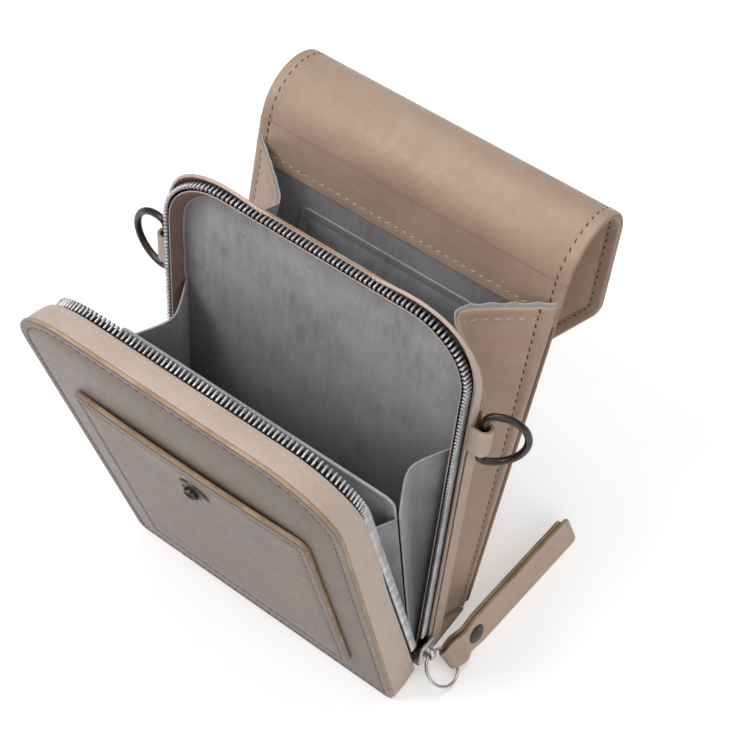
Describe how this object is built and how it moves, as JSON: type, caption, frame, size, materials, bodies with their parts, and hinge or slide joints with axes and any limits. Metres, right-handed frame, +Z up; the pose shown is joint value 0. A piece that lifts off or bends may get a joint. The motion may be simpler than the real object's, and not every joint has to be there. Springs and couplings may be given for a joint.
{
  "type": "phone pouch",
  "caption": "Upright leather phone pouch with a zip-round wallet in front, a phone pocket with folding side gussets behind it and a snap flap rising from the back panel.",
  "frame": {"origin": "on the standing surface, at the middle of the width and on the plane of the base", "axes": "+X to the pouch's right as seen from its front, +Y to the back (the flap side), +Z up"},
  "size_m": [0.1521, 0.145, 0.1698],
  "materials": {
    "shell_leather": "soft grained taupe leather, satin",
    "panel_leather": "soft grained grey-taupe leather, satin",
    "strip_leather": "pale fine-grained leather, satin",
    "grey_lining": "mottled grey suede cloth",
    "dark_lining": "dark grey smooth satin cloth",
    "board": "plain leather on board",
    "tape": "dark woven zip tape",
    "teeth": "gunmetal, bright on the crowns",
    "nickel": "nickel, polished",
    "black_nickel": "black nickel, polished"
  },
  "bodies": {
    "middle": {"base_strip": "shell_leather", "mid_panel": "shell_leather", "mid_lining": "grey_lining", "phone_lining": "dark_lining", "mid_gusset": "strip_leather", "mid_base": "board", "zip_tape_rear": "tape", "zip_teeth_rear": "teeth", "ring_tab_left": "shell_leather", "ring_tab_right": "shell_leather", "bellows_rear_left": "grey_lining", "bellows_rear_right": "grey_lining", "phone_gusset_left": "shell_leather", "phone_gusset_right": "shell_leather"},
    "front": {"front_panel": "panel_leather", "front_pocket": "panel_leather", "snap_stud": "black_nickel", "snap_post": "black_nickel", "front_gusset": "strip_leather", "front_base": "board", "front_lining": "grey_lining", "zip_tape_front": "tape", "zip_teeth_front": "teeth", "bellows_front_left": "grey_lining", "bellows_front_right": "grey_lining"},
    "divider": {"card_divider": "grey_lining"},
    "back": {"back_panel": "shell_leather", "back_lining": "dark_lining", "slip_pocket": "dark_lining", "flap_facing": "shell_leather"},
    "curl_1": {"flap_band_1": "shell_leather"},
    "curl_2": {"flap_band_2": "shell_leather"},
    "curl_3": {"flap_band_3": "shell_leather"},
    "over": {"flap_top": "shell_leather"},
    "fold": {"flap_band_4": "shell_leather"},
    "lip": {"flap_lip": "shell_leather", "snap_cap": "black_nickel", "snap_socket": "black_nickel"},
    "ring_left": {"d_ring_left": "black_nickel"},
    "ring_right": {"d_ring_right": "black_nickel"},
    "slider": {"zip_slider": "nickel"},
    "jump": {"jump_ring": "nickel"},
    "pull": {"pull_strap": "shell_leather", "pull_rivet": "black_nickel"}
  },
  "joints": [
    {"name": "flap_bend_1", "type": "hinge", "parent": "back", "child": "curl_1", "pos_m": [0, 0.05516, 0.15227], "axis": [1, 0, 0], "range_deg": [0, 63.79]},
    {"name": "flap_bend_2", "type": "hinge", "parent": "curl_1", "child": "curl_2", "pos_m": [0, 0.06532, 0.15867], "axis": [1, 0, 0], "range_deg": [-2, 69.79]},
    {"name": "flap_bend_3", "type": "hinge", "parent": "curl_2", "child": "curl_3", "pos_m": [0, 0.07712, 0.15652], "axis": [1, 0, 0], "range_deg": [-2, 69.79]},
    {"name": "flap_bend_4", "type": "hinge", "parent": "curl_3", "child": "over", "pos_m": [0, 0.08438, 0.14696], "axis": [1, 0, 0], "range_deg": [-2, 69.79]},
    {"name": "flap_front_bend_1", "type": "hinge", "parent": "over", "child": "fold", "pos_m": [0, 0.08299, 0.13203], "axis": [1, 0, 0], "range_deg": [-2, 51.5]},
    {"name": "flap_front_bend_2", "type": "hinge", "parent": "fold", "child": "lip", "pos_m": [0, 0.08216, 0.12306], "axis": [1, 0, 0], "range_deg": [-2, 51.5]},
    {"name": "back_hinge", "type": "hinge", "parent": "middle", "child": "back", "pos_m": [0, 0.014, 0.0018], "axis": [1, 0, 0], "range_deg": [-2, 9.6], "deforming": ["phone_gusset_left", "phone_gusset_right"]},
    {"name": "front_hinge", "type": "hinge", "parent": "middle", "child": "front", "pos_m": [0, -0.012, 0.0036], "axis": [1, 0, 0], "range_deg": [-19.7, 2], "deforming": ["bellows_front_left", "bellows_front_right"]},
    {"name": "divider_hinge", "type": "hinge", "parent": "middle", "child": "divider", "pos_m": [0, -0.012, 0.0036], "axis": [1, 0, 0], "range_deg": [-12.6, 2], "deforming": ["bellows_rear_left", "bellows_rear_right"]},
    {"name": "slider_travel", "type": "slide", "parent": "middle", "child": "slider", "axis": [0, 0.1097, 0.994], "range_m": [0, 0.08]},
    {"name": "jump_ring_swing", "type": "hinge", "parent": "slider", "child": "jump", "pos_m": [0.05985, -0.01134, 0.00956], "axis": [0, 0.994, -0.1097], "range_deg": [-58, 0]},
    {"name": "pull_swing", "type": "hinge", "parent": "jump", "child": "pull", "pos_m": [0.06517, -0.00579, 0.0052], "axis": [0.8192, -0.0629, -0.5701], "range_deg": [0, 100]},
    {"name": "ring_left_swing", "type": "hinge", "parent": "middle", "child": "ring_left", "pos_m": [-0.0604, 0.00715, 0.12423], "axis": [0, 0.1097, 0.994], "range_deg": [-80, 54]},
    {"name": "ring_right_swing", "type": "hinge", "parent": "middle", "child": "ring_right", "pos_m": [0.0604, 0.00715, 0.12423], "axis": [0, 0.1097, 0.994], "range_deg": [-90, 40]}
  ],
  "couplings": [
    {"joint": "flap_bend_2", "follows": "flap_bend_1", "ratio": 1},
    {"joint": "flap_bend_3", "follows": "flap_bend_1", "ratio": 1},
    {"joint": "flap_bend_4", "follows": "flap_bend_1", "ratio": 1},
    {"joint": "flap_front_bend_1", "follows": "flap_bend_1", "ratio": 0.72899},
    {"joint": "flap_front_bend_2", "follows": "flap_bend_1", "ratio": 0.72899},
    {"joint": "back_hinge", "follows": "flap_bend_1", "ratio": 0.14109},
    {"joint": "front_hinge", "follows": "flap_bend_1", "ratio": -0.28374},
    {"joint": "divider_hinge", "follows": "flap_bend_1", "ratio": -0.18184}
  ]
}
